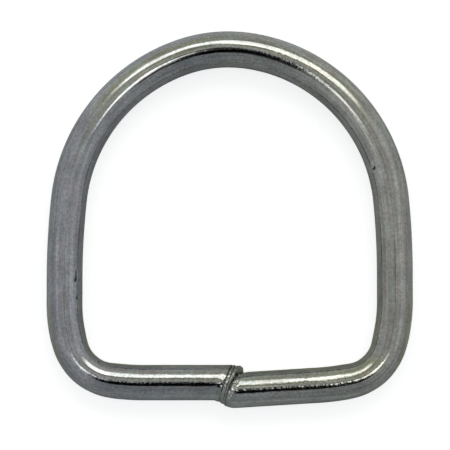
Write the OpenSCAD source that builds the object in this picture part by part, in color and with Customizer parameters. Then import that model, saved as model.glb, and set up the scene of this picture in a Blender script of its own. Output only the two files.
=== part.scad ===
// D ring bent from one length of round steel wire.
// The wire's two sheared ends meet a little out of line in the bar, where they are welded.
// The ring lies flat on z = 0, with its crown towards +Y and its bar towards -Y.
// The origin is the middle of the ring's outer box, at the bottom.

/* [Wire] */
// Diameter of the round wire
wire_d = 3; // [2:0.1:4]

/* [Ring] */
// Inside width between the legs, which is the width of the strap
inner_w = 25; // [18:0.5:40]
// Straight stretch of the left leg
leg_l = 2.2; // [1:0.1:30]
// Inside radius of the bends between the legs and the bar
corner_r = 2.6; // [1.6:0.1:5]
// How far the top of the crown lies left of the middle
crown_shift = 0.15; // [0:0.05:1]

/* [Joint] */
// How far the joint lies right of the middle of the bar
joint_shift = 0.15; // [-2:0.05:2]
// How far the bar's right end stands out past its left end, away from the crown
joint_step = 0.65; // [0.1:0.05:1]
// Slope of the bar's right half down to the joint, in degrees
bar_slope = 3.5; // [0:0.5:5]
// Lean of the sheared ends towards the right leg, seen from above, in degrees
shear_lean = 18; // [0:1:30]
// Lean of the sheared ends towards the left leg, seen from the front, in degrees
shear_tilt = 12; // [0:1:20]
// Width of the welded seam between the two ends, along the bar
seam_w = 0.8; // [0.5:0.05:1.6]

/* [Hidden] */

$fn = 64;
wire_r = wire_d / 2;
half_w = (inner_w + wire_d) / 2;
bend_r = corner_r + wire_r;

// Each half of the ring is a row of stretches from the top of the crown to the joint. A
// stretch is the heading where it ends, the radius of its bend, or 0 where it is straight, and
// its length where it is straight. A heading is how far the wire has turned since the top: 0
// there, 90 down the leg and 180 back along the bar.
function heading(stretch) = stretch[0];
function bend_radius(stretch) = stretch[1];
function straight_length(stretch) = stretch[2];
LEG = 90;
BAR = 180;

// Bends of the crown, with radii as shares of half the ring's width. The shoulder's radius is
// worked out, so that the leg comes down exactly at half the width, and it is 0 until then.
crown_left = [[18, 0.84], [84, 0], [LEG, 4.5]];
crown_right = [[10, 0.9], [84.5, 0], [LEG, 4.5]];

// Bends from the leg to the bar, with radii as shares of the corner's own
ease_angle = 8;
corner_left = [[107, 3], [BAR - ease_angle, 1], [BAR, 5]];
corner_right = [[106, 3.5], [BAR - bar_slope - ease_angle, 1], [BAR - bar_slope, 5]];

// Every other stretch is thinner by a hair all round, and its ends are sunk in the next ones
hair = 0.01;
sink = 0.1;

// Sections of the welded seam, from the left end to the right: place along the seam, place
// across the step, and half width and half height as shares of the wire's radius. The first
// and the last are buried in the wire. Two raised lips stand on either side of a groove.
function along(section) = section[0];
function across(section) = section[1];
function half_width(section) = section[2];
function half_height(section) = section[3];
seam = [
    [-0.6, 0.0, 0.86, 0.86],
    [-0.02, 0.0, 0.92, 0.90],
    [0.15, 0.1, 1.00, 0.97],
    [0.35, 0.2, 1.02, 0.98],
    [0.5, 0.4, 0.96, 0.92],
    [0.65, 0.5, 1.09, 0.98],
    [0.8, 0.6, 1.06, 0.97],
    [1.02, 1.0, 0.92, 0.90],
    [1.6, 1.0, 0.86, 0.86]
];
seam_sides = 32;
cutter = 4 * wire_d;

// Heading where a stretch starts, in a row that starts at the heading from
function start(row, i, from) = i == 0 ? from : heading(row[i - 1]);

// Run sideways and drop towards the bar over one stretch
function run_of(s, from) = bend_radius(s) > 0
    ? bend_radius(s) * (sin(heading(s)) - sin(from))
    : straight_length(s) * cos(from);
function drop_of(s, from) = bend_radius(s) > 0
    ? bend_radius(s) * (cos(from) - cos(heading(s)))
    : straight_length(s) * sin(from);

// Run and drop over the first n stretches of a row
function run(row, n, from = 0, i = 0) =
    i == n ? 0 : run_of(row[i], start(row, i, from)) + run(row, n, from, i + 1);
function drop(row, n, from = 0, i = 0) =
    i == n ? 0 : drop_of(row[i], start(row, i, from)) + drop(row, n, from, i + 1);

function sized(bends, unit) = [for (b = bends) [heading(b), bend_radius(b) * unit, 0]];

// Crown whose shoulder, the bend that has no radius yet, closes on the side's reach
function closed(bends, reach) =
    let (
        turns = [for (i = [0:len(bends) - 1]) sin(heading(bends[i])) - sin(start(bends, i, 0))],
        known = [for (b = bends) bend_radius(b)] * turns,
        open = [for (i = [0:len(bends) - 1]) if (bend_radius(bends[i]) == 0) turns[i]][0]
    )
    [for (b = bends) [heading(b), bend_radius(b) > 0 ? bend_radius(b) : (reach - known) / open, 0]];

over_left = closed(sized(crown_left, half_w), half_w - crown_shift);
over_right = closed(sized(crown_right, half_w), half_w + crown_shift);
turn_left = sized(corner_left, bend_r);
turn_right = sized(corner_right, bend_r);

// Where the wire's centreline ends at the seam, in the left half and in the right half
left_end_x = joint_shift - (seam_w - joint_step * tan(shear_lean)) / 2;
right_end_x = joint_shift + (seam_w - joint_step * tan(shear_lean)) / 2;

// Straight stretches of the bar, as far as the ends
left_bar_l = half_w + run(turn_left, len(turn_left), LEG) + left_end_x;
right_bar_l = (half_w + run(turn_right, len(turn_right), LEG) - right_end_x) / cos(bar_slope);

// Rise of the centreline from bar to crown, and the right leg that brings the right end of the
// bar to the step
rise = drop(over_left, len(over_left)) + leg_l + drop(turn_left, len(turn_left), LEG);
leg_r = rise + joint_step - drop(over_right, len(over_right))
    - drop(turn_right, len(turn_right), LEG) - right_bar_l * sin(bar_slope);

// The ring's lowest point in plan is the lower edge of the right end, at the shear
overhang = wire_r / (cos(bar_slope) * (1 - tan(shear_lean) * tan(bar_slope)));
top_y = (rise + joint_step + overhang - wire_r) / 2;
left_bar_y = top_y - rise;
right_bar_y = left_bar_y - joint_step;

// The bar runs on past the shear, which cuts it off
past = wire_d;
row_left = concat(over_left, [[LEG, 0, leg_l]], turn_left, [[BAR, 0, left_bar_l + past]]);
row_right = concat(
    over_right, [[LEG, 0, leg_r]], turn_right, [[BAR - bar_slope, 0, right_bar_l + past]]
);

// One bend about the origin, between two headings, for a side whose leg lies towards +X
module bend(radius, from, to, r) {
    rotate([0, 0, LEG - to])
        rotate_extrude(angle = to - from)
            translate([radius, 0]) circle(r);
}

// Straight wire that leaves the origin at the heading angle, after lying back behind it
module straight(length, angle, r, back) {
    rotate([0, LEG, -angle])
        translate([0, 0, -back]) cylinder(h = length + 2 * back, r = r);
}

// Half of the ring for a side whose leg lies towards +X. Stretch number thin is a thinner one,
// and so is every second one before and after it.
module half_ring(apex_x, row, thin) {
    for (i = [0:len(row) - 1]) {
        from = start(row, i, 0);
        to = heading(row[i]);
        radius = bend_radius(row[i]);
        sunk = (i + thin) % 2 == 0;
        r = sunk ? wire_r - hair : wire_r;
        back = sunk ? sink : 0;
        translate([apex_x + run(row, i), top_y - drop(row, i), wire_r])
            if (radius > 0) {
                more = back / radius * 180 / PI;
                translate([-radius * sin(from), -radius * cos(from), 0])
                    bend(radius, from - more, to + more, r);
            } else {
                straight(straight_length(row[i]), from, r, back);
            }
    }
}

// Everything on one side of a sheared end
module beyond_shear(x, y, towards) {
    tilt = atan(tan(shear_tilt) * cos(shear_lean));
    translate([x, y, wire_r])
        rotate([0, -tilt, -shear_lean])
            translate([towards * cutter / 2, 0, 0]) cube(cutter, center = true);
}

module left_half() {
    difference() {
        mirror([1, 0, 0]) half_ring(crown_shift, row_left, 1);
        beyond_shear(left_end_x, left_bar_y, 1);
    }
}

module right_half() {
    difference() {
        half_ring(-crown_shift, row_right, 0);
        beyond_shear(right_end_x, right_bar_y, -1);
    }
}

// Point of the seam: the section's ellipse, moved along the bar as the shear leans
function seam_point(s, angle) =
    let (
        y = half_width(s) * wire_r * cos(angle) - across(s) * joint_step,
        z = half_height(s) * wire_r * sin(angle)
    )
    [
        left_end_x + along(s) * seam_w + y * tan(shear_lean) - z * tan(shear_tilt),
        left_bar_y + y,
        wire_r + z
    ];

// The seam: one closed skin through its sections
module weld_seam() {
    n = seam_sides;
    rings = len(seam);
    points = [for (s = seam) for (k = [0:n - 1]) seam_point(s, k * 360 / n)];
    walls = [
        for (i = [0:rings - 2]) for (k = [0:n - 1])
            let (a = i * n + k, b = i * n + (k + 1) % n)
            each [[a, b + n, b], [a, a + n, b + n]]
    ];
    first = [for (k = [0:n - 1]) k];
    last = [for (k = [n - 1:-1:0]) (rings - 1) * n + k];
    polyhedron(points, concat(walls, [first, last]));
}

module ring() {
    color([0.66, 0.67, 0.68]) {
        left_half();
        right_half();
        weld_seam();
    }
}

ring();
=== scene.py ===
"""The welded D ring as it lies under soft light: drawn and plated wire, bent round, and its weld.

Lengths are in metres, in the solid's own frame: the ring lies flat on z = 0, its crown is towards
+Y and its bar towards -Y. Angles are in degrees. Materials work in millimetres.
"""

import logging
import math
from dataclasses import dataclass, field, replace
from enum import Enum

import bpy
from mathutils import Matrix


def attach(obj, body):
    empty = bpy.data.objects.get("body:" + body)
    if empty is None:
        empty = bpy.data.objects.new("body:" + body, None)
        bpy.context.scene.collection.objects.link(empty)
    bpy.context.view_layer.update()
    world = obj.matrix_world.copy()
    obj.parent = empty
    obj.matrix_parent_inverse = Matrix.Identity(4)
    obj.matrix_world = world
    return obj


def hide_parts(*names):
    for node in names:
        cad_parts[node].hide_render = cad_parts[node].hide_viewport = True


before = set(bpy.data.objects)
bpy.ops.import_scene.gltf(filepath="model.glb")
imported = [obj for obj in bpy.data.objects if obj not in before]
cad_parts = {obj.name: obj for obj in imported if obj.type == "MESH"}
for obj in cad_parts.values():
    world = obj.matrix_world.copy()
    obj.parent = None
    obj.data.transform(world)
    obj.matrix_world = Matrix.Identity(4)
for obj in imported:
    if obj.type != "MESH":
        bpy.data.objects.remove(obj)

log = logging.getLogger("d_ring")

Socket = bpy.types.NodeSocket
Colour = tuple[float, float, float]
Edge = tuple[float, float]

MM = 0.001
DEGREES = 180 / math.pi
LEG = 90.0
BAR = 180.0
STEEL = "plated_wire"
NODE = "ring"
WIRE_MAP = "wire"
WELD_MAP = "weld"
# Attribute for the weld's painted shade and the nicks' dark marks
SHADE_AND_MARKS_MAP = "shade_and_marks"
FALLING = (1.0, 0.0)
OVERHEAD = (-2.0, -1.0)
BLACK = (0.0, 0.0, 0.0)
WHITE = (1.0, 1.0, 1.0)


class Side(Enum):
    """The half of the ring that a row of stretches goes down, from the top of the crown."""

    LEFT = -1
    RIGHT = 1


@dataclass(frozen=True)
class RingSizes:
    """The sizes that the solid is driven by, and what follows from them."""

    wire_d: float = 3.0 * MM
    inner_w: float = 25.0 * MM
    leg: float = 2.2 * MM
    corner_r: float = 2.6 * MM
    crown_shift: float = 0.15 * MM
    joint_shift: float = 0.15 * MM
    joint_step: float = 0.65 * MM
    bar_slope: float = 3.5
    shear_lean: float = 18.0
    seam_w: float = 0.8 * MM
    ease_angle: float = 8.0

    @property
    def wire_r(self) -> float:
        """Radius of the wire."""
        return self.wire_d / 2

    @property
    def half_w(self) -> float:
        """Half the ring's width, to the middle of the wire."""
        return (self.inner_w + self.wire_d) / 2

    @property
    def bend_r(self) -> float:
        """Radius of a corner, to the middle of the wire."""
        return self.corner_r + self.wire_r

    @property
    def end_gap(self) -> float:
        """Half the run along the bar between the wire's two ends."""
        return (self.seam_w - self.joint_step * tan(self.shear_lean)) / 2


@dataclass(frozen=True)
class Stretch:
    """A bend, or a straight where the radius is 0, up to the heading where it ends."""

    heading: float
    radius: float = 0.0
    length: float = 0.0


@dataclass(frozen=True)
class Station:
    """One cross-section of the wire, on its way round from the left end to the right end.

    Lean and tilt are slopes here: how far the section slides along the wire for each step outwards
    and upwards. Weld, bruise and painted shade are shares of the full effect; the painted shade
    darkens the weld's grooves and gaps and lays a painted shadow beside its lobe.
    """

    x: float
    y: float
    turn: float
    along: float
    half_width: float
    half_height: float
    lean: float
    tilt: float
    weld: float
    bruise: float
    shade_and_marks: float


def tan(degrees: float) -> float:
    """Tangent of an angle in degrees."""
    return math.tan(math.radians(degrees))


def sin(degrees: float) -> float:
    """Sine of an angle in degrees."""
    return math.sin(math.radians(degrees))


def cos(degrees: float) -> float:
    """Cosine of an angle in degrees."""
    return math.cos(math.radians(degrees))


def smooth(value: float) -> float:
    """Eases a share from 0 to 1, flat at both ends."""
    share = min(max(value, 0.0), 1.0)
    return share * share * (3 - 2 * share)


class HalfRow:
    """The stretches of one half of the ring, from the top of the crown to its end at the weld."""

    def __init__(
        self, side: Side, bends: list[Stretch], leg: float, corner: list[Stretch], bar: float
    ) -> None:
        """Puts the half together: crown's bends, straight leg, corner's bends and straight bar."""
        self.side = side
        self.row = [*bends, Stretch(LEG, 0.0, leg), *corner, Stretch(corner[-1].heading, 0.0, bar)]

    @staticmethod
    def span(stretch: Stretch, start: float) -> float:
        """Length of a stretch that starts at a heading."""
        turned = math.radians(stretch.heading - start)
        return stretch.radius * turned if stretch.radius > 0 else stretch.length

    @property
    def length(self) -> float:
        """Length of the wire in this half."""
        starts = [0.0, *(stretch.heading for stretch in self.row)]
        return sum(self.span(stretch, start) for stretch, start in zip(self.row, starts))

    def at(self, distance: float) -> tuple[float, float, float]:
        """Finds a point of the wire's middle line.

        Args:
            distance: How far along the wire it is from the top of the crown.

        Returns:
            Its run sideways, its drop towards the bar and its heading.
        """
        run = drop = start = 0.0
        left = distance
        for stretch in self.row:
            span = self.span(stretch, start)
            part = min(left, span)
            end = start
            if stretch.radius > 0:
                end = start + math.degrees(part / stretch.radius)
                run += stretch.radius * (sin(end) - sin(start))
                drop += stretch.radius * (cos(start) - cos(end))
            else:
                run += part * cos(start)
                drop += part * sin(start)
            left -= part
            if left <= 0:
                return run, drop, end
            start = stretch.heading
        return run, drop, start


class RingPath:
    """The wire's middle line, by the same rules as the solid's.

    A crown's table has the heading where each bend ends, and its radius as a share of half the
    ring's width, 0 for the shoulder. A corner's has the heading where its first bend ends, and
    its bends' radii as shares of the corner's radius.
    """

    CROWN_LEFT = ((18.0, 0.84), (84.0, 0.0), (LEG, 4.5))
    CROWN_RIGHT = ((10.0, 0.9), (84.5, 0.0), (LEG, 4.5))
    CORNER_LEFT = (107.0, (3.0, 1.0, 5.0))
    CORNER_RIGHT = (106.0, (3.5, 1.0, 5.0))

    def __init__(self, sizes: RingSizes) -> None:
        """Works out both halves.

        Args:
            sizes: The ring's sizes.
        """
        self.sizes = s = sizes
        self.left_end_x = s.joint_shift - s.end_gap
        right_end_x = s.joint_shift + s.end_gap
        over_left = self.crown(self.CROWN_LEFT, s.half_w - s.crown_shift)
        over_right = self.crown(self.CROWN_RIGHT, s.half_w + s.crown_shift)
        round_left = self.corner(self.CORNER_LEFT, BAR)
        round_right = self.corner(self.CORNER_RIGHT, BAR - s.bar_slope)
        left_bar = s.half_w + self.reach(round_left, LEG)[0] + self.left_end_x
        right_bar = s.half_w + self.reach(round_right, LEG)[0] - right_end_x
        right_bar /= cos(s.bar_slope)
        rise = self.reach(over_left, 0)[1] + s.leg + self.reach(round_left, LEG)[1]
        right_leg = rise + s.joint_step - self.reach(over_right, 0)[1]
        right_leg -= self.reach(round_right, LEG)[1] + right_bar * sin(s.bar_slope)
        overhang = s.wire_r / (cos(s.bar_slope) * (1 - tan(s.shear_lean) * tan(s.bar_slope)))
        self.top_y = (rise + s.joint_step + overhang - s.wire_r) / 2
        self.left_bar_y = self.top_y - rise
        self.left = HalfRow(Side.LEFT, over_left, s.leg, round_left, left_bar)
        self.right = HalfRow(Side.RIGHT, over_right, right_leg, round_right, right_bar)

    @staticmethod
    def reach(bends: list[Stretch], start: float) -> tuple[float, float]:
        """Measures a row of bends.

        Args:
            bends: The bends.
            start: The heading that the row starts at.

        Returns:
            The run and the drop over the row.
        """
        run = drop = 0.0
        for bend in bends:
            run += bend.radius * (sin(bend.heading) - sin(start))
            drop += bend.radius * (cos(start) - cos(bend.heading))
            start = bend.heading
        return run, drop

    def crown(self, table: tuple[Edge, ...], reach: float) -> list[Stretch]:
        """Sizes the crown's bends so that the shoulder closes on the leg.

        Args:
            table: The crown's table.
            reach: How far the leg is from the top of the crown.

        Returns:
            The bends, with the shoulder's radius worked out.
        """
        half_w = self.sizes.half_w
        starts = [0.0, *(heading for heading, _ in table[:-1])]
        turns = [sin(heading) - sin(start) for (heading, _), start in zip(table, starts)]
        known = sum(share * half_w * turn for (_, share), turn in zip(table, turns))
        shoulder = next(
            (reach - known) / turn for (_, share), turn in zip(table, turns) if share == 0
        )
        return [Stretch(heading, share * half_w or shoulder) for heading, share in table]

    def corner(self, table: tuple[float, tuple[float, ...]], end: float) -> list[Stretch]:
        """Sizes a corner's bends, of which the last two end at the bar and just short of it.

        Args:
            table: The corner's table.
            end: The bar's heading.

        Returns:
            The bends.
        """
        first, shares = table
        headings = (first, end - self.sizes.ease_angle, end)
        radii = (share * self.sizes.bend_r for share in shares)
        return [Stretch(heading, radius) for heading, radius in zip(headings, radii)]

    def place(self, half: HalfRow, distance: float) -> tuple[float, float, float]:
        """Finds a point of one half in the ring's own frame.

        Args:
            half: The half of the ring.
            distance: How far along the wire it is from the top of the crown.

        Returns:
            x, y and the turn from the top of the crown, negative on the left.
        """
        run, drop, heading = half.at(distance)
        side = half.side.value
        return side * run - self.sizes.crown_shift, self.top_y - drop, side * heading


@dataclass(frozen=True)
class SeamSection:
    """A cross-section of the weld, on the way from the wire's left end to its right end.

    The inner and outer edge are counted from the left end's middle, and these and the half height
    are shares of the wire's radius. The last value is how dark the weld is painted there: painted
    shade in its grooves and gaps, and a painted shadow beside its lobe.
    """

    along: float
    inner: float
    outer: float
    height: float
    lean: float
    tilt: float
    shade_and_marks: float


@dataclass(frozen=True)
class ShearedEnd:
    """How one sheared end of the wire is rounded over, leans and is bridged to the weld.

    It leans as seen from above and is tilted as seen from the front. It may lie back from where
    the solid's end is, and may have painted shade at its very end, a dark line in the gap at the
    weld.
    """

    reach: float
    depth: float
    lean: float
    tilt: float
    bruise: float
    back: float = 0.0
    bridge: float = 0.0
    bridge_reach: float = 0.5 * MM
    bridge_curve: float = 1.5
    shade_and_marks: float = 0.0
    painted_shade_reach: float = 0.13 * MM


@dataclass
class WireStations:
    """Walks round the ring and sizes the wire's cross-section at each station.

    Stations lie a step apart, and closer near the weld. The wire is a little wider in plan over
    the crown, and narrower where it bends sharply over the window to either side. The sections
    lean from the slide's reach on, up to the end's full lean at the weld. The ring is drawn out
    a touch from bar to crown, for what the camera's lean takes off.
    """

    sizes: RingSizes
    step: float = 0.15 * MM
    fine_step: float = 0.02 * MM
    fine_reach: float = 1.5 * MM
    pinch: float = 0.22
    pinch_from: float = 0.15
    pinch_window: float = 1.2 * MM
    swell: float = 0.03
    slide_reach: float = 3.0 * MM
    draw_out: float = 1.0063
    # The left end's dark line in the gap at the weld is painted shade.
    left_end: ShearedEnd = ShearedEnd(
        0.14 * MM, 0.05 * MM, 21.0, 5.0, bruise=0.2, back=0.20 * MM, bridge=0.07 * MM, shade_and_marks=1.3
    )
    right_end: ShearedEnd = ShearedEnd(0.70 * MM, 0.23 * MM, 22.0, 22.0, bruise=1.0)
    weld_w: float = 1.04 * MM
    weld_lean: float = 21.0
    weld_bruise: float = 0.3
    seam_step: float = 0.022 * MM
    tint_reach: float = 0.9 * MM
    end_tint: float = 0.5
    # Columns: along, inner, outer, height, lean, tilt, and the painted shade in the weld's grooves
    # and gaps and the painted shadow beside its lobe.
    seam: tuple[SeamSection, ...] = (
        SeamSection(0.00, 0.967, 1.04, 0.965, 21.0, 5.0, 1.3),
        SeamSection(0.05, 0.955, 1.06, 0.93, 21.0, 5.0, 1.3),
        SeamSection(0.12, 0.985, 1.11, 0.995, 20.0, 5.5, 0.0),
        SeamSection(0.25, 0.995, 1.17, 1.00, 18.5, 6.5, -0.3),
        SeamSection(0.37, 0.975, 1.225, 0.995, 17.0, 7.5, 0.0),
        SeamSection(0.44, 0.92, 1.255, 0.93, 16.0, 8.5, 0.8),
        SeamSection(0.51, 0.945, 1.275, 0.965, 17.0, 10.5, 0.2),
        SeamSection(0.65, 0.96, 1.31, 1.00, 20.0, 13.5, 0.0),
        SeamSection(0.78, 0.895, 1.33, 0.985, 22.0, 17.0, 0.1),
        SeamSection(0.88, 0.71, 1.33, 0.92, 22.0, 20.0, 0.6),
        SeamSection(0.95, 0.54, 1.32, 0.87, 22.0, 21.5, 1.3),
        SeamSection(1.00, 0.42, 1.280, 0.847, 22.0, 22.0, 0.3),
    )

    def __post_init__(self) -> None:
        """Lays the wire's middle line out."""
        self.path = RingPath(self.sizes)

    def crowd(self, length: float) -> list[float]:
        """Spaces stations along a half, closer and closer towards its end.

        Args:
            length: Length of the half.

        Returns:
            Distances from the end, from 0 up to the whole length.
        """
        marks, mark = [], 0.0
        while mark < length:
            marks.append(mark)
            mark += self.fine_step + (self.step - self.fine_step) * min(mark / self.fine_reach, 1)
        return [*marks, length]

    @staticmethod
    def round_over(distance: float, end: ShearedEnd) -> float:
        """How far the wire's surface draws in at a distance from its sheared end."""
        share = 1 - min(distance / end.reach, 1.0)
        return end.depth * (1 - math.sqrt(max(1 - share * share, 0.0)))

    def bend_at(self, half: HalfRow, distance: float) -> float:
        """Finds how sharply the wire bends about a point.

        Args:
            half: The half of the ring.
            distance: How far along the wire the point is from the top of the crown.

        Returns:
            The wire's radius over the bend's.
        """
        window = self.pinch_window
        low, high = max(distance - window, 0.0), min(distance + window, half.length)
        turned = math.radians(half.at(high)[2] - half.at(low)[2])
        return turned / (high - low) * self.sizes.wire_r

    def half_stations(self, half: HalfRow) -> list[Station]:
        """Sizes the stations of one half.

        Args:
            half: The half of the ring.

        Returns:
            Its stations, from its end to the top of the crown.
        """
        s = self.sizes
        right = half.side is Side.RIGHT
        end, slope = (self.right_end, s.bar_slope) if right else (self.left_end, 0.0)
        lean = tan(end.lean + slope)
        tilt = tan(end.tilt) / (cos(slope) * (1 - tan(end.lean) * tan(slope)))
        length = half.length - end.back
        stations = []
        for mark in self.crowd(length):
            x, y, turn = self.path.place(half, length - mark)
            slide = 1 - smooth(mark / self.slide_reach)
            near = 1 - smooth(mark / self.tint_reach)
            swell = self.swell * cos(turn / 2) ** 2
            pinch = self.pinch * max(self.bend_at(half, length - mark) - self.pinch_from, 0.0)
            inset = self.round_over(mark, end)
            bridge = end.bridge * max(1 - mark / end.bridge_reach, 0.0) ** end.bridge_curve
            stations.append(
                Station(
                    x=x,
                    y=y - bridge,
                    turn=turn,
                    along=mark,
                    half_width=s.wire_r * (1 + swell - pinch) - inset + bridge,
                    half_height=s.wire_r - inset,
                    lean=lean * slide,
                    tilt=tilt * slide,
                    weld=self.end_tint * near,
                    bruise=end.bruise * near,
                    shade_and_marks=end.shade_and_marks * max(1 - mark / end.painted_shade_reach, 0.0),
                )
            )
        return stations

    def seam_at(self, place: float) -> SeamSection:
        """Eases between the sections of the seam's table.

        Args:
            place: The share of the weld's width from the left end.

        Returns:
            The section there.
        """
        for low, high in zip(self.seam, self.seam[1:]):
            if place <= high.along:
                share = smooth((place - low.along) / (high.along - low.along))
                mixed = [
                    getattr(low, name) + (getattr(high, name) - getattr(low, name)) * share
                    for name in ("inner", "outer", "height", "lean", "tilt", "shade_and_marks")
                ]
                return SeamSection(place, *mixed)
        return self.seam[-1]

    def seam_stations(self, start: float) -> list[Station]:
        """Stations of the weld, from the wire's right end to its left end.

        Args:
            start: How far round the wire the right end is.

        Returns:
            The stations between the two ends.
        """
        radius = self.sizes.wire_r
        count = round(self.weld_w / self.seam_step)
        left_x = self.path.left_end_x - self.left_end.back
        stations = []
        for i in range(count, -1, -1):
            part = self.seam_at(i / count)
            shift = (part.outer - part.inner) / 2 * radius
            stations.append(
                Station(
                    x=left_x + part.along * self.weld_w - shift * tan(self.weld_lean),
                    y=self.path.left_bar_y - shift,
                    turn=BAR,
                    along=start + (1 - part.along) * self.weld_w,
                    half_width=(part.inner + part.outer) / 2 * radius,
                    half_height=part.height * radius,
                    lean=tan(part.lean),
                    tilt=tan(part.tilt),
                    weld=1.0,
                    bruise=self.weld_bruise,
                    shade_and_marks=part.shade_and_marks,
                )
            )
        return stations

    def all(self) -> list[Station]:
        """Walks the whole ring.

        Returns:
            All stations. The last one is the first again, a whole wire further on.
        """
        left = self.half_stations(self.path.left)
        right = self.half_stations(self.path.right)
        over = self.path.left.length - self.left_end.back
        total = over + self.path.right.length
        way = left + [replace(st, along=total - st.along) for st in reversed(right[:-1])]
        way += self.seam_stations(total)
        way = [replace(station, y=station.y * self.draw_out) for station in way]
        return [*way, replace(way[0], along=total + self.weld_w)]


class NodeBench:
    """Lays nodes in a tree and joins them up."""

    COLUMN_W = 180

    def __init__(self, tree: bpy.types.NodeTree) -> None:
        """Takes the tree to work on."""
        self.tree = tree
        self.column = 0

    def add(self, kind: str, values: dict | None = None, **settings: object) -> bpy.types.Node:
        """Adds one node.

        Args:
            kind: Blender's name for the node.
            values: For each input, by name or number, a constant or the output that feeds it.
            settings: The node's own settings.

        Returns:
            The node.
        """
        node = self.tree.nodes.new(kind)
        self.column += 1
        node.location = (self.column * self.COLUMN_W, 0)
        for name, value in settings.items():
            setattr(node, name, value)
        for name, value in (values or {}).items():
            socket = node.inputs[name]
            if isinstance(value, bpy.types.NodeSocket):
                self.tree.links.new(value, socket)
            else:
                socket.default_value = value
        return node

    def first(self, kind: str, values: dict | None = None, **settings: object) -> Socket:
        """Adds one node and gives its first output."""
        return self.add(kind, values, **settings).outputs[0]

    def math(self, operation: str, *terms: object) -> Socket:
        """Result of one sum on numbers."""
        return self.first("ShaderNodeMath", dict(enumerate(terms)), operation=operation)

    def vector(self, operation: str, *terms: object) -> Socket:
        """Result of one sum on vectors."""
        return self.first("ShaderNodeVectorMath", dict(enumerate(terms)), operation=operation)

    def times(self, vector: object, factor: object) -> Socket:
        """A vector made longer by a factor."""
        values = {0: vector, "Scale": factor}
        return self.first("ShaderNodeVectorMath", values, operation="SCALE")

    def join(self, x: object, y: object, z: object) -> Socket:
        """A vector from its three parts."""
        return self.first("ShaderNodeCombineXYZ", {0: x, 1: y, 2: z})

    def parts(self, vector: object) -> tuple[Socket, ...]:
        """The three parts of a vector."""
        return tuple(self.add("ShaderNodeSeparateXYZ", {0: vector}).outputs)

    def ease(self, value: object, low: float, high: float, to: Edge = (0.0, 1.0)) -> Socket:
        """Eases a value from one range to another, and holds it at its ends.

        Args:
            value: The value.
            low: Where the easing starts.
            high: Where it ends, which may be below the start.
            to: The results at the start and at the end.

        Returns:
            The eased value.
        """
        values = {"Value": value, "From Min": low, "From Max": high}
        values |= {"To Min": to[0], "To Max": to[1]}
        return self.first("ShaderNodeMapRange", values, interpolation_type="SMOOTHSTEP")

    def between(self, value: object, rise: Edge, fall: Edge) -> Socket:
        """A share that is 1 from the end of the rise to the start of the fall of a value."""
        return self.math("MULTIPLY", self.ease(value, *rise), self.ease(value, *fall, FALLING))

    def mix(self, share: object, low: object, high: object) -> Socket:
        """A colour between two others, nearer the second as the share grows."""
        node = self.add("ShaderNodeMix", {0: share, 6: low, 7: high}, data_type="RGBA")
        return node.outputs[2]


@dataclass(frozen=True)
class SoftNoise:
    """Soft noise about 0, from -1 to 1. A stretch below 1 draws it out along x."""

    scale: float
    detail: float = 2.0
    rough: float = 0.5
    stretch: float = 1.0
    shift: float = 0.0

    def on(self, b: NodeBench, place: object) -> Socket:
        """Lays the noise on a place.

        Args:
            b: The bench of the tree.
            place: The place, in millimetres.

        Returns:
            The noise.
        """
        drawn = b.vector("MULTIPLY_ADD", place, (self.stretch, 1.0, 1.0), (self.shift, 0.0, 0.0))
        values = {"Vector": drawn, "Scale": self.scale, "Detail": self.detail}
        values["Roughness"] = self.rough
        return b.first("ShaderNodeTexNoise", values, noise_dimensions="3D", normalize=False)


@dataclass(frozen=True)
class Nick:
    """A small dent in the wire, by its place along it and round it. A bump has depth below 0."""

    along: float
    angle: float
    half_length: float
    half_width: float
    depth: float
    # How dark the nick's middle is painted: its dark mark.
    shade_and_marks: float = 0.0


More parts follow.
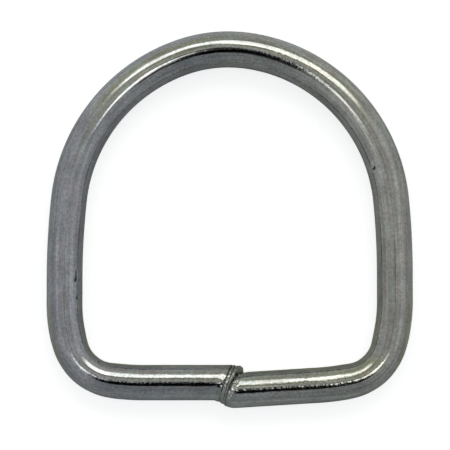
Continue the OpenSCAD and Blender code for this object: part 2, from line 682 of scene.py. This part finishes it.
class WireSweep:
    """The tree that sweeps the wire's cross-section round the stations."""

    SIZES = (
        "half_width", "half_height", "along", "turn", "lean", "tilt", "weld", "bruise", "shade_and_marks",
    )
    INPUTS = (
        ("Stations", "NodeSocketInt"),
        ("Sides", "NodeSocketInt"),
        ("Wobble", "NodeSocketFloat"),
        ("Weld Lumps", "NodeSocketFloat"),
        ("Bruising", "NodeSocketFloat"),
        ("Seed", "NodeSocketFloat"),
        ("Material", "NodeSocketMaterial"),
    )
    WOBBLE = SoftNoise(0.45, 1.0)
    LUMPS = SoftNoise(3.2, 2.0, 0.6)
    BLOWS = SoftNoise(3.4, 2.0, 0.6)
    LUMPY_ABOVE = (-0.95, -0.5)
    BRUISED_ABOVE = (0.1, 0.6)
    PAINTED_SHADE_INSIDE = (0.75, -0.1)
    NICK_EDGE = (0.1, 1.0)
    MERGED = 0.5e-6

    def __init__(self, nicks: tuple[Nick, ...], radius: float) -> None:
        """Makes the tree.

        Args:
            nicks: The dents and bumps of the wire's surface.
            radius: Radius of the wire.
        """
        self.radius = radius
        self.tree = bpy.data.node_groups.new("wire sweep", "GeometryNodeTree")
        self.tree.is_modifier = True
        self.sockets: dict[str, str] = {}
        self.declare("Geometry", "NodeSocketGeometry", "INPUT")
        for name, kind in self.INPUTS:
            self.declare(name, kind, "INPUT")
        self.declare("Geometry", "NodeSocketGeometry", "OUTPUT")
        self.bench = NodeBench(self.tree)
        self.source = self.bench.add("NodeGroupInput").outputs
        self.build(nicks)

    def declare(self, name: str, kind: str, way: str) -> None:
        """Adds an input or output to the tree and keeps an input's identifier.

        Args:
            name: Its name.
            kind: Blender's name for its kind.
            way: INPUT or OUTPUT.
        """
        socket = self.tree.interface.new_socket(name=name, in_out=way, socket_type=kind)
        if way == "INPUT":
            self.sockets[name] = socket.identifier

    def sample(self, value: Socket, row: Socket, kind: str) -> Socket:
        """A value of the stations' own mesh at one of them."""
        values = {"Geometry": self.source["Geometry"], "Value": value, "Index": row}
        return self.bench.first("GeometryNodeSampleIndex", values, data_type=kind, domain="POINT")

    def size_at(self, name: str, row: Socket) -> Socket:
        """One of the stations' own sizes at a station."""
        own = self.bench.first("GeometryNodeInputNamedAttribute", {"Name": name}, data_type="FLOAT")
        return self.sample(own, row, "FLOAT")

    def on_points(self, value: Socket, kind: str) -> Socket:
        """The value as it is worked out at the points."""
        values = {0: value}
        return self.bench.first("GeometryNodeFieldOnDomain", values, data_type=kind, domain="POINT")

    def cover(self, nick: Nick, along: Socket, angle: Socket) -> Socket:
        """How far a nick reaches a point of the wire's surface.

        Args:
            nick: The dent or bump.
            along: How far along the wire the point is.
            angle: How far round the wire the point is.

        Returns:
            A share, which is 1 in the middle of the nick.
        """
        b = self.bench
        aside = b.math("SUBTRACT", angle, math.radians(nick.angle))
        aside = b.math("MULTIPLY", aside, self.radius / nick.half_width)
        past = b.math("MULTIPLY", b.math("SUBTRACT", along, nick.along), 1 / nick.half_length)
        gap = b.math("ADD", b.math("MULTIPLY", aside, aside), b.math("MULTIPLY", past, past))
        return b.ease(b.math("SQRT", gap), *self.NICK_EDGE, FALLING)

    def grid(self) -> tuple[Socket, Socket, Socket]:
        """Lays a flat grid with a row for each station and a column for each side.

        Returns:
            The grid, a point's row and its angle round the wire.
        """
        b, rows, sides = self.bench, self.source["Stations"], self.source["Sides"]
        last = b.math("SUBTRACT", rows, 1.0)
        values = {"Size X": sides, "Size Y": last, "Vertices Y": rows}
        values["Vertices X"] = b.math("ADD", sides, 1.0)
        grid = b.add("GeometryNodeMeshGrid", values).outputs["Mesh"]
        x, y, _ = b.parts(b.first("GeometryNodeInputPosition"))
        row = b.math("ROUND", b.math("ADD", y, b.math("MULTIPLY", last, 0.5)))
        side = b.math("ROUND", b.math("ADD", x, b.math("MULTIPLY", sides, 0.5)))
        return grid, row, b.math("MULTIPLY", b.math("DIVIDE", side, sides), math.tau)

    def build(self, nicks: tuple[Nick, ...]) -> None:
        """Lays the whole tree out.

        Args:
            nicks: The dents and bumps of the wire's surface.
        """
        b = self.bench
        mesh, row, angle = self.grid()
        size = {name: self.size_at(name, row) for name in self.SIZES}
        outness, upness = b.math("COSINE", angle), b.math("SINE", angle)
        turn_sin, turn_cos = b.math("SINE", size["turn"]), b.math("COSINE", size["turn"])
        onward = b.join(turn_cos, b.math("MULTIPLY", turn_sin, -1.0), 0.0)
        outward = b.join(turn_sin, turn_cos, 0.0)
        out = b.math("MULTIPLY", size["half_width"], outness)
        up = b.math("MULTIPLY", size["half_height"], upness)
        slide = b.math("MULTIPLY_ADD", out, size["lean"], b.math("MULTIPLY", up, size["tilt"]))
        centre = self.sample(b.first("GeometryNodeInputPosition"), row, "FLOAT_VECTOR")
        spot = b.vector("ADD", centre, b.times(outward, out))
        spot = b.vector("ADD", spot, b.times(onward, slide))
        spot = b.vector("ADD", spot, b.join(0.0, 0.0, up))
        radial = b.vector("ADD", b.times(outward, outness), b.join(0.0, 0.0, upness))
        # Painted shade: the stations' dark lines in the weld's grooves and gaps and the painted
        # shadow beside its lobe, kept to the wire's inner half; each nick adds its dark mark.
        dents, shade_and_marks = 0.0, b.math("MULTIPLY", size["shade_and_marks"], b.ease(outness, *self.PAINTED_SHADE_INSIDE))
        for nick in nicks:
            share = self.cover(nick, size["along"], angle)
            dents = b.math("MULTIPLY_ADD", share, -nick.depth, dents)
            shade_and_marks = b.math("MULTIPLY_ADD", share, nick.shade_and_marks, shade_and_marks)
        relief = b.math("ADD", self.relief(spot, size, upness), dents)
        spot = self.on_points(b.vector("ADD", spot, b.times(radial, relief)), "FLOAT_VECTOR")
        for name, value, kind, domain in (
            (WIRE_MAP, b.join(size["along"], out, up), "FLOAT_VECTOR", "CORNER"),
            (WELD_MAP, size["weld"], "FLOAT", "POINT"),
            (SHADE_AND_MARKS_MAP, shade_and_marks, "FLOAT", "POINT"),
        ):
            values = {"Geometry": mesh, "Name": name, "Value": self.on_points(value, kind)}
            mesh = b.first("GeometryNodeStoreNamedAttribute", values, data_type=kind, domain=domain)
        for kind, values in (
            ("GeometryNodeSetPosition", {"Position": spot}),
            ("GeometryNodeMergeByDistance", {"Distance": self.MERGED}),
            ("GeometryNodeSetShadeSmooth", {}),
            ("GeometryNodeRealizeInstances", {}),
            ("GeometryNodeSetMaterial", {"Material": self.source["Material"]}),
        ):
            mesh = b.first(kind, {"Geometry": mesh, **values})
        b.add("NodeGroupOutput", {"Geometry": mesh})

    def relief(self, spot: Socket, size: dict[str, Socket], upness: Socket) -> Socket:
        """Works out the surface over its plain section: the wobble, the weld's lumps, the bruises.

        Args:
            spot: Place of the point on the plain section.
            size: The station's sizes at the point.
            upness: How far the surface faces up there, from -1 to 1.

        Returns:
            The height.
        """
        b, source = self.bench, self.source
        place = b.vector("ADD", b.times(spot, 1 / MM), b.join(source["Seed"], 0.0, 0.0))
        height = b.math("MULTIPLY", self.WOBBLE.on(b, place), source["Wobble"])
        for noise, above, where, depth in (
            (self.LUMPS, self.LUMPY_ABOVE, "weld", "Weld Lumps"),
            (self.BLOWS, self.BRUISED_ABOVE, "bruise", "Bruising"),
        ):
            rough = b.math("MULTIPLY", noise.on(b, place), b.ease(upness, *above))
            rough = b.math("MULTIPLY", b.math("MULTIPLY", rough, size[where]), source[depth])
            height = b.math("ADD", height, rough)
        return height

    def run(self, name: str, stations: list[Station], sizes: dict[str, object]) -> bpy.types.Object:
        """Sweeps the wire and makes the result a plain mesh.

        Args:
            name: Name of the piece.
            stations: The stations round the ring.
            sizes: A value for each of the tree's named inputs.

        Returns:
            The piece, at the origin.
        """
        way = bpy.data.meshes.new(name + "_way")
        way.from_pydata([(st.x, st.y, self.radius) for st in stations], [], [])
        for key in self.SIZES:
            values = [getattr(st, key) for st in stations]
            if key == "turn":
                values = [math.radians(value) for value in values]
            way.attributes.new(key, "FLOAT", "POINT").data.foreach_set("value", values)
        host = bpy.data.objects.new(name + "_way", way)
        bpy.context.scene.collection.objects.link(host)
        modifier = host.modifiers.new("sweep", "NODES")
        modifier.node_group = self.tree
        for label, value in {"Stations": len(stations), **sizes}.items():
            modifier[self.sockets[label]] = value
        graph = bpy.context.evaluated_depsgraph_get()
        mesh = bpy.data.meshes.new_from_object(host.evaluated_get(graph))
        host.modifiers.remove(modifier)
        bpy.data.objects.remove(host)
        bpy.data.meshes.remove(way)
        mesh.name = name
        piece = bpy.data.objects.new(name, mesh)
        bpy.context.scene.collection.objects.link(piece)
        return piece


def new_material(name: str) -> tuple[bpy.types.Material, NodeBench]:
    """Starts a material from nothing.

    Args:
        name: Its name.

    Returns:
        The material and the bench of its tree.
    """
    material = bpy.data.materials.new(name)
    material.use_nodes = True
    material.node_tree.nodes.clear()
    return material, NodeBench(material.node_tree)


@dataclass(frozen=True)
class PlatedSteel:
    """Thin bright plating over drawn steel: mid grey, with fine lines along the wire.

    It is cooler on the left and warmer on the right. It has painted shade towards the inner side,
    and a painted reflection makes a paler band down the inside of the left leg. It is worn to a
    grain along the bar, in the corners and at one place of the crown. Places along and across the
    wire are in millimetres, across from -1.5 on the inner side to 1.5 on the outer.
    """

    cool: Colour = (0.62, 0.638, 0.68)
    warm: Colour = (0.65, 0.66, 0.61)
    side_span: Edge = (-15.0, 15.0)
    painted_shade_edge: Edge = (-1.35, -0.75)
    painted_inner_shade: float = 0.88
    streaks: SoftNoise = SoftNoise(1.9, 2.0, 0.55, stretch=0.05)
    streak_shade: float = 0.24
    streak_depth: float = 2.6e-6
    lines: SoftNoise = SoftNoise(6.0, 1.0, 0.5, stretch=0.04)
    line_shade: float = 0.20
    line_depth: float = 1.2e-6
    specks: SoftNoise = SoftNoise(4.5, 2.0, 0.7)
    speck_shade: float = 0.24
    clouds: SoftNoise = SoftNoise(0.6)
    cloud_shade: float = 0.16
    cloud_roughness: float = 0.02
    # Where the painted reflection down the inside of the left leg lies, and how much it brightens.
    reflection_across: tuple[Edge, Edge] = ((-0.75, -0.62), (-0.42, -0.28))
    reflection_along: tuple[Edge, Edge] = ((10.0, 14.0), (24.0, 32.0))
    reflection_gain: float = 0.13
    hues: SoftNoise = SoftNoise(1.3, 2.0, 0.6, stretch=0.5, shift=40.0)
    hue_swing: Colour = (0.045, -0.035, -0.02)
    roughness: float = 0.08
    grain: SoftNoise = SoftNoise(3.2, 2.0, 0.6)
    grain_depth: float = 2.4e-6
    grain_unworn: float = 0.15
    worn_left: Edge = (17.0, 7.0)
    worn_right: Edge = (77.0, 86.0)
    worn_crown: float = 53.5
    worn_crown_reach: Edge = (4.5, 1.5)
    weld_colour: Colour = (0.50, 0.54, 0.49)
    weld_share: float = 0.75
    weld_roughness: float = 0.04
    # Near black of the weld's painted shade and painted shadow, and of the nicks' dark marks.
    shade_and_marks_colour: Colour = (0.12, 0.13, 0.12)
    blotches: SoftNoise = SoftNoise(1.7, 2.0, 0.6)
    blotch_swing: float = 1.7
    blotch_mean: float = 0.95
    shade_and_marks_edge: Edge = (0.15, 0.95)

    def make(self) -> bpy.types.Material:
        """Builds the material.

        Returns:
            The plating, under the record's name for it.
        """
        material, b = new_material(STEEL)
        wire, weld, shade_and_marks = (
            b.add("ShaderNodeAttribute", attribute_name=name, attribute_type="GEOMETRY").outputs[at]
            for name, at in ((WIRE_MAP, "Vector"), (WELD_MAP, "Fac"), (SHADE_AND_MARKS_MAP, "Fac"))
        )
        wire = b.times(wire, 1 / MM)
        streaks, lines, clouds = (
            noise.on(b, wire) for noise in (self.streaks, self.lines, self.clouds)
        )
        shades = [
            (streaks, self.streak_shade),
            (lines, self.line_shade),
            (self.specks.on(b, wire), self.speck_shade),
            (clouds, self.cloud_shade),
        ]
        colour = self.plating(b, wire, shades)
        colour = b.mix(b.math("MULTIPLY", weld, self.weld_share), colour, (*self.weld_colour, 1))
        # The weld's painted shade in its grooves and gaps and painted shadow beside its lobe, with
        # the nicks' dark marks, blotched and mixed towards near black.
        blotches = self.blotches.on(b, wire)
        blotches = b.math("MULTIPLY_ADD", blotches, self.blotch_swing, self.blotch_mean)
        black = b.ease(b.math("MULTIPLY", shade_and_marks, blotches), *self.shade_and_marks_edge)
        colour = b.mix(black, colour, (*self.shade_and_marks_colour, 1))
        rough = b.math("MULTIPLY_ADD", clouds, self.cloud_roughness, self.roughness)
        rough = b.math("MULTIPLY_ADD", weld, self.weld_roughness, rough)
        values = {"Base Color": colour, "Metallic": 1.0, "Roughness": rough}
        for height, depth in (
            (streaks, self.streak_depth),
            (lines, self.line_depth),
            (self.rubbed(b, wire), self.grain_depth),
        ):
            bump = {"Height": height, "Distance": depth, "Strength": 1.0}
            if "Normal" in values:
                bump["Normal"] = values["Normal"]
            values["Normal"] = b.first("ShaderNodeBump", bump)
        shader = b.first("ShaderNodeBsdfPrincipled", values)
        b.add("ShaderNodeOutputMaterial", {"Surface": shader})
        return material

    def plating(self, b: NodeBench, wire: Socket, shades: list[tuple[Socket, float]]) -> Socket:
        """Colours the plating.

        Args:
            b: The bench of the material's tree.
            wire: Place on the unrolled wire.
            shades: The patterns that shade it, and how strongly.

        Returns:
            The colour away from the weld.
        """
        along, out, _ = b.parts(wire)
        spot = b.times(b.add("ShaderNodeTexCoord").outputs["Object"], 1 / MM)
        rightness = b.ease(b.parts(spot)[0], *self.side_span)
        colour = b.mix(rightness, (*self.cool, 1), (*self.warm, 1))
        # Painted reflection: a paler band down the inside of the left leg.
        painted_reflection = b.between(out, *self.reflection_across)
        painted_reflection = b.math("MULTIPLY", painted_reflection, b.between(along, *self.reflection_along))
        # Painted shade: darker towards the inner side of the wire, where it mirrors the darker
        # floor inside the ring.
        shade = b.ease(out, *self.painted_shade_edge, (self.painted_inner_shade, 1.0))
        for pattern, share in (*shades, (painted_reflection, self.reflection_gain)):
            shade = b.math("MULTIPLY", b.math("MULTIPLY_ADD", pattern, share, 1.0), shade)
        hue = self.hues.on(b, wire)
        tint = b.vector("MULTIPLY_ADD", b.join(hue, hue, hue), self.hue_swing, WHITE)
        return b.vector("MULTIPLY", b.times(colour, shade), tint)

    def rubbed(self, b: NodeBench, wire: Socket) -> Socket:
        """Grains the places where the wire is worn.

        Args:
            b: The bench of the material's tree.
            wire: Place on the unrolled wire.

        Returns:
            The height of the grain.
        """
        along = b.parts(wire)[0]
        worn = b.math("MAXIMUM", b.ease(along, *self.worn_left), b.ease(along, *self.worn_right))
        past = b.math("ABSOLUTE", b.math("SUBTRACT", along, self.worn_crown))
        worn = b.math("MAXIMUM", worn, b.ease(past, *self.worn_crown_reach))
        worn = b.math("MULTIPLY_ADD", worn, 1 - self.grain_unworn, self.grain_unworn)
        return b.math("MULTIPLY", self.grain.on(b, wire), worn)


@dataclass
class WeldedRing:
    """The whole ring: one drawn wire, bent round and welded."""

    sizes: RingSizes
    finish: PlatedSteel = field(default_factory=PlatedSteel)
    sides: int = 126
    wobble: float = 4e-6
    weld_lumps: float = 36e-6
    bruising: float = 150e-6
    seed: float = 7.0
    nicks: tuple[Nick, ...] = (
        Nick(64.85 * MM, 130, 0.30 * MM, 0.28 * MM, 0.07 * MM, 1.7),
        Nick(64.35 * MM, 124, 0.40 * MM, 0.14 * MM, 0.04 * MM, 0.7),
        Nick(20.0 * MM, 131, 0.28 * MM, 0.22 * MM, 0.06 * MM, 1.4),
        Nick(20.5 * MM, 134, 0.60 * MM, 0.16 * MM, 0.05 * MM, 0.7),
        Nick(18.5 * MM, 137, 0.26 * MM, 0.15 * MM, 0.03 * MM, 1.0),
        Nick(88.6 * MM, 107, 0.22 * MM, 0.22 * MM, -0.02 * MM),
        Nick(89.7 * MM, 113, 0.08 * MM, 0.45 * MM, 0.012 * MM, 0.5),
        Nick(46.1 * MM, 110, 0.14 * MM, 0.13 * MM, 0.015 * MM, 0.5),
        Nick(41.3 * MM, 111, 0.14 * MM, 0.13 * MM, 0.015 * MM, 0.5),
        Nick(11.4 * MM, 142, 0.30 * MM, 0.16 * MM, 0.03 * MM, 0.6),
        Nick(95.22 * MM, 97, 0.12 * MM, 0.15 * MM, 0.03 * MM, 1.6),
    )

    def build(self) -> bpy.types.Object:
        """Sweeps the wire, dresses it and hangs it on the frame.

        Returns:
            The finished piece.
        """
        stations = WireStations(self.sizes).all()
        inputs = {
            "Sides": self.sides,
            "Wobble": self.wobble,
            "Weld Lumps": self.weld_lumps,
            "Bruising": self.bruising,
            "Seed": self.seed,
            "Material": self.finish.make(),
        }
        piece = WireSweep(self.nicks, self.sizes.wire_r).run("ring_wire", stations, inputs)
        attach(piece, "root")
        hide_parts(NODE)
        return piece


@dataclass(frozen=True)
class PaleFloor:
    """The pale surface that the ring lies on. What mirrors in the wire is its mid grey.

    Inside the bar that grey is warmer. From the ring outwards it glows a little, more so towards
    the crown's side. These places are in millimetres.
    """

    reach: float = 2.0
    depth: float = 0.01 * MM
    tint: Colour = (0.95, 0.99, 1.02)
    pale: float = 0.8
    glow: float = 0.75
    mirrored: float = 0.55
    warm_tint: Colour = (0.97, 1.0, 0.88)
    warm_span: tuple[Edge, Edge] = ((-15.5, -13.5), (-9.0, -4.0))
    mirrored_glow: float = 0.16
    glow_from: Edge = (13.0, 17.0)
    middle_glow: tuple[float, float, Edge] = (-15.0, -8.0, (0.0, 0.3))
    crown_glow: tuple[float, float, Edge] = (4.0, 16.0, (0.0, 0.5))

    def build(self) -> bpy.types.Object:
        """Lays the floor.

        Returns:
            The floor.
        """
        r, z = self.reach, -self.depth
        mesh = bpy.data.meshes.new("floor")
        mesh.from_pydata([(-r, -r, z), (r, -r, z), (r, r, z), (-r, r, z)], [], [(0, 1, 2, 3)])
        mesh.materials.append(self.material())
        floor = bpy.data.objects.new("floor", mesh)
        bpy.context.scene.collection.objects.link(floor)
        return floor

    def material(self) -> bpy.types.Material:
        """Makes the floor white to the eye, and mid grey where the wire mirrors it.

        Returns:
            The floor's material.
        """
        material, b = new_material("pale floor")
        x, y, _ = b.parts(b.times(b.add("ShaderNodeTexCoord").outputs["Object"], 1 / MM))
        reach = b.math("SQRT", b.math("ADD", b.math("MULTIPLY", x, x), b.math("MULTIPLY", y, y)))
        brighter = b.math("ADD", b.ease(y, *self.middle_glow), b.ease(y, *self.crown_glow))
        beyond = b.math("MULTIPLY", b.ease(reach, *self.glow_from), brighter)
        tint = b.mix(b.between(y, *self.warm_span), (*self.tint, 1), (*self.warm_tint, 1))
        pale = (*(self.pale * part for part in self.tint), 1)
        mirrored_glow = b.math("MULTIPLY", beyond, self.mirrored_glow)
        lit = self.surface(b, pale, self.glow)
        grey = self.surface(b, b.times(tint, self.mirrored), mirrored_glow)
        seen = b.add("ShaderNodeLightPath").outputs["Is Camera Ray"]
        surface = b.first("ShaderNodeMixShader", {0: seen, 1: grey, 2: lit})
        b.add("ShaderNodeOutputMaterial", {"Surface": surface})
        return material

    @staticmethod
    def surface(b: NodeBench, colour: object, glow: object) -> Socket:
        """Makes a matt surface that also glows a little.

        Args:
            b: The bench of the material's tree.
            colour: Its colour.
            glow: How strongly it glows.

        Returns:
            The surface.
        """
        matt = b.first("ShaderNodeBsdfDiffuse", {"Color": colour})
        light = b.first("ShaderNodeEmission", {"Color": (*WHITE, 1), "Strength": glow})
        return b.first("ShaderNodeAddShader", {0: matt, 1: light})


@dataclass(frozen=True)
class SkyPatch:
    """A soft-edged part of the surroundings.

    The compass runs from +X towards +Y. The fall from straight overhead is 0 there and 90 at the
    horizon, and each edge is a pair of falls between which the patch fades. A patch whose near
    edge is OVERHEAD reaches all the way up.
    """

    towards: float
    half_width: float
    side_blur: float
    near_edge: Edge
    far_edge: Edge
    colour: Colour

    def mask(self, b: NodeBench, compass: Socket, fall: Socket) -> Socket:
        """How far the patch covers a direction.

        Args:
            b: The bench of the sky's tree.
            compass: The direction's compass angle.
            fall: The direction's fall from straight overhead.

        Returns:
            A share from 0 to 1.
        """
        aside = b.math("WRAP", b.math("SUBTRACT", compass, self.towards), 180.0, -180.0)
        aside = b.math("ABSOLUTE", aside)
        wide = b.ease(aside, self.half_width + self.side_blur, self.half_width - self.side_blur)
        return b.math("MULTIPLY", wide, b.between(fall, self.near_edge, self.far_edge))


@dataclass(frozen=True)
class SoftStudio:
    """The light: a wide soft window up behind the crown, grey walls and a dark space overhead."""

    wall: Colour = (0.31, 0.31, 0.315)
    patches: tuple[SkyPatch, ...] = (
        # Paler upper walls to the left and right, and darker ones on the bar's side
        SkyPatch(20, 46, 20, (32, 37), (52, 68), (0.385, 0.385, 0.39)),
        SkyPatch(-45, 22, 15, (32, 40), (70, 88), (0.25, 0.255, 0.26)),
        SkyPatch(188, 46, 22, (32, 37), (52, 66), (0.345, 0.35, 0.355)),
        SkyPatch(-160, 26, 12, (58, 78), (100, 110), (0.26, 0.26, 0.265)),
        SkyPatch(-12, 28, 12, (58, 76), (100, 110), (0.27, 0.27, 0.275)),
        SkyPatch(0, 62, 25, OVERHEAD, (30, 38), (0.30, 0.30, 0.30)),
        SkyPatch(180, 62, 25, OVERHEAD, (30, 38), (0.31, 0.31, 0.315)),
        SkyPatch(-88, 34, 16, OVERHEAD, (88, 98), (0.185, 0.195, 0.20)),
        # Ceiling and walls on the crown's side, and the window in two parts
        SkyPatch(89, 48, 8, (5, 9), (80, 95), (0.34, 0.345, 0.305)),
        SkyPatch(117, 21, 9, (9, 14), (80, 95), (0.34, 0.345, 0.265)),
        SkyPatch(86, 34, 14, (17, 22), (27, 31), (0.20, 0.195, 0.135)),
        SkyPatch(87, 40, 7, (31, 37), (44, 56), (1.6, 1.6, 1.5)),
        SkyPatch(72, 20, 8, (26, 32), (44, 57), (1.65, 1.65, 1.55)),
        # Dark space about the camera
        SkyPatch(-93, 33, 8, OVERHEAD, (22, 31), BLACK),
        SkyPatch(-90, 95, 30, OVERHEAD, (2, 5), BLACK),
        SkyPatch(90, 22, 10, OVERHEAD, (2.5, 5.5), BLACK),
        SkyPatch(90, 85, 15, OVERHEAD, (1.6, 2.9), BLACK),
        # Gaps of light on either side of it
        SkyPatch(-34, 17, 6, (1, 4), (12, 21), (1.8, 1.8, 1.65)),
        SkyPatch(-57, 13, 6, (10, 16), (25, 30), (0.02, 0.02, 0.02)),
        SkyPatch(-158, 9, 6, (21, 26), (31, 36), (0.52, 0.52, 0.50)),
        SkyPatch(-149, 11, 6, (1, 5), (16, 22), (1.3, 1.3, 1.24)),
    )

    def build(self) -> None:
        """Makes the light that comes from all round."""
        world = bpy.data.worlds.new("soft studio")
        bpy.context.scene.world = world
        world.use_nodes = True
        world.node_tree.nodes.clear()
        b = NodeBench(world.node_tree)
        x, y, z = b.parts(b.add("ShaderNodeTexCoord").outputs["Generated"])
        fall = b.math("MULTIPLY", b.math("ARCCOSINE", z), DEGREES)
        compass = b.math("MULTIPLY", b.math("ARCTAN2", y, x), DEGREES)
        colour = (*self.wall, 1)
        for patch in self.patches:
            colour = b.mix(patch.mask(b, compass, fall), colour, (*patch.colour, 1))
        light = b.first("ShaderNodeBackground", {"Color": colour, "Strength": 1.0})
        b.add("ShaderNodeOutputWorld", {"Surface": light})


@dataclass(frozen=True)
class TopCamera:
    """Looks down on the ring from above, from a little towards the bar's side."""

    aim: tuple[float, float, float] = (-0.40 * MM, -0.48 * MM, 1.5 * MM)
    view_w: float = 38.20 * MM
    distance: float = 280 * MM
    lean: float = 4.5
    sensor: float = 36.0
    sight: Edge = (0.01, 10.0)

    def build(self) -> bpy.types.Object:
        """Puts the camera up and makes it the scene's.

        Returns:
            The camera.
        """
        data = bpy.data.cameras.new("camera")
        data.sensor_width = self.sensor
        data.lens = self.sensor * self.distance / self.view_w
        data.clip_start, data.clip_end = self.sight
        camera = bpy.data.objects.new("camera", data)
        x, y, z = self.aim
        height, back = self.distance * cos(self.lean), self.distance * sin(self.lean)
        camera.location = (x, y - back, z + height)
        camera.rotation_euler = (math.radians(self.lean), 0, 0)
        bpy.context.scene.collection.objects.link(camera)
        bpy.context.scene.camera = camera
        return camera


def report(piece: bpy.types.Object) -> None:
    """Says what a finished piece is made of.

    Args:
        piece: The piece.
    """
    mesh = piece.data
    mesh.calc_loop_triangles()
    points, triangles = len(mesh.vertices), len(mesh.loop_triangles)
    log.info("%s: %d points, %d triangles", piece.name, points, triangles)


def main() -> None:
    """Builds the camera, the light, the floor and the ring."""
    logging.basicConfig(level=logging.INFO, format="%(message)s")
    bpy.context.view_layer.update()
    bpy.context.scene.view_settings.view_transform = "Standard"
    TopCamera().build()
    SoftStudio().build()
    report(PaleFloor().build())
    report(WeldedRing(RingSizes()).build())


if __name__ == "__main__":
    main()
